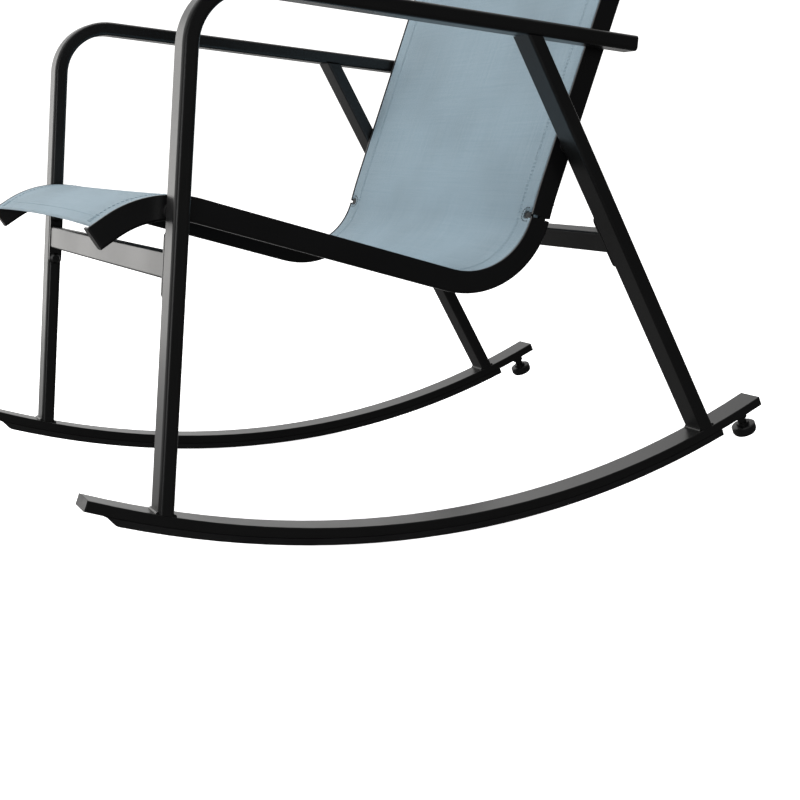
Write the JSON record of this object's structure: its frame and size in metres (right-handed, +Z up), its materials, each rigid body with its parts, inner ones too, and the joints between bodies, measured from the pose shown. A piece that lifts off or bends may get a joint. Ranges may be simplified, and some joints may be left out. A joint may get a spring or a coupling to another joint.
{
  "type": "camp rocking chair",
  "caption": "Rocking chair with a bent flat-tube steel frame, loop arms, curved rockers and one stretched fabric sling.",
  "frame": {"origin": "on the floor, midway across the chair's overall width and overall depth", "axes": "+X to the sitter's left, +Y to the rear, +Z up"},
  "size_m": [0.53, 0.8084, 0.8412],
  "materials": {
    "frame_coat": "satin",
    "rail_coat": "satin",
    "sling_fabric": "matte",
    "pocket_rod": "matte",
    "glide_plastic": "matte",
    "cap_plastic": "satin",
    "black_bolt": "satin",
    "zinc_steel": "satin",
    "dark_insert": "matte",
    "knob_plastic": "satin",
    "pad_rubber": "matte"
  },
  "bodies": {
    "chair": {"rocker_left": "frame_coat", "rocker_right": "frame_coat", "glide_strip_left": "glide_plastic", "glide_strip_right": "glide_plastic", "glide_screws": "zinc_steel", "rocker_end_caps": "cap_plastic", "front_leg_arm_left": "frame_coat", "front_leg_arm_right": "frame_coat", "rear_leg_left": "frame_coat", "rear_leg_right": "frame_coat", "arm_end_caps": "cap_plastic", "weld_beads": "frame_coat", "front_crossbar": "frame_coat", "rear_crossbar": "frame_coat", "front_bar_plates": "frame_coat", "rear_bar_plates": "frame_coat", "crossbar_bolts": "black_bolt", "crossbar_nuts": "zinc_steel", "seat_rail_left": "rail_coat", "seat_rail_right": "rail_coat", "back_rail_left": "rail_coat", "back_rail_right": "rail_coat", "rail_joiner_left": "dark_insert", "rail_joiner_right": "dark_insert", "joiner_screws": "black_bolt", "rail_front_caps": "cap_plastic", "rail_top_caps": "cap_plastic", "rail_bolts": "black_bolt", "rail_spacers": "dark_insert", "rail_nuts": "zinc_steel", "top_spreader": "rail_coat", "spreader_plates": "rail_coat", "spreader_bolts": "black_bolt", "spreader_nuts": "zinc_steel", "sling": "sling_fabric", "sling_rod_left": "pocket_rod", "sling_rod_right": "pocket_rod", "stop_bushes": "frame_coat"},
    "foot_pad_left": {"stop_pad_left": "pad_rubber"},
    "foot_screw_left": {"stop_stud_left": "zinc_steel", "stop_knob_left": "knob_plastic"},
    "foot_pad_right": {"stop_pad_right": "pad_rubber"},
    "foot_screw_right": {"stop_stud_right": "zinc_steel", "stop_knob_right": "knob_plastic"}
  },
  "joints": [
    {"name": "foot_travel_left", "type": "slide", "parent": "chair", "child": "foot_pad_left", "axis": [0, 0.3955, -0.9184], "range_m": [-0.0045, 0.003]},
    {"name": "foot_turn_left", "type": "hinge", "parent": "foot_pad_left", "child": "foot_screw_left", "pos_m": [0.249, 0.3882, 0.0778], "axis": [0, 0.3955, -0.9184], "range_deg": [-1081, 721]},
    {"name": "foot_travel_right", "type": "slide", "parent": "chair", "child": "foot_pad_right", "axis": [0, 0.3955, -0.9184], "range_m": [-0.0045, 0.003]},
    {"name": "foot_turn_right", "type": "hinge", "parent": "foot_pad_right", "child": "foot_screw_right", "pos_m": [-0.249, 0.3882, 0.0778], "axis": [0, 0.3955, -0.9184], "range_deg": [-1081, 721]}
  ],
  "couplings": [
    {"joint": "foot_turn_left", "follows": "foot_travel_left", "rad_per_m": 4188.8},
    {"joint": "foot_turn_right", "follows": "foot_travel_right", "rad_per_m": 4188.8}
  ]
}
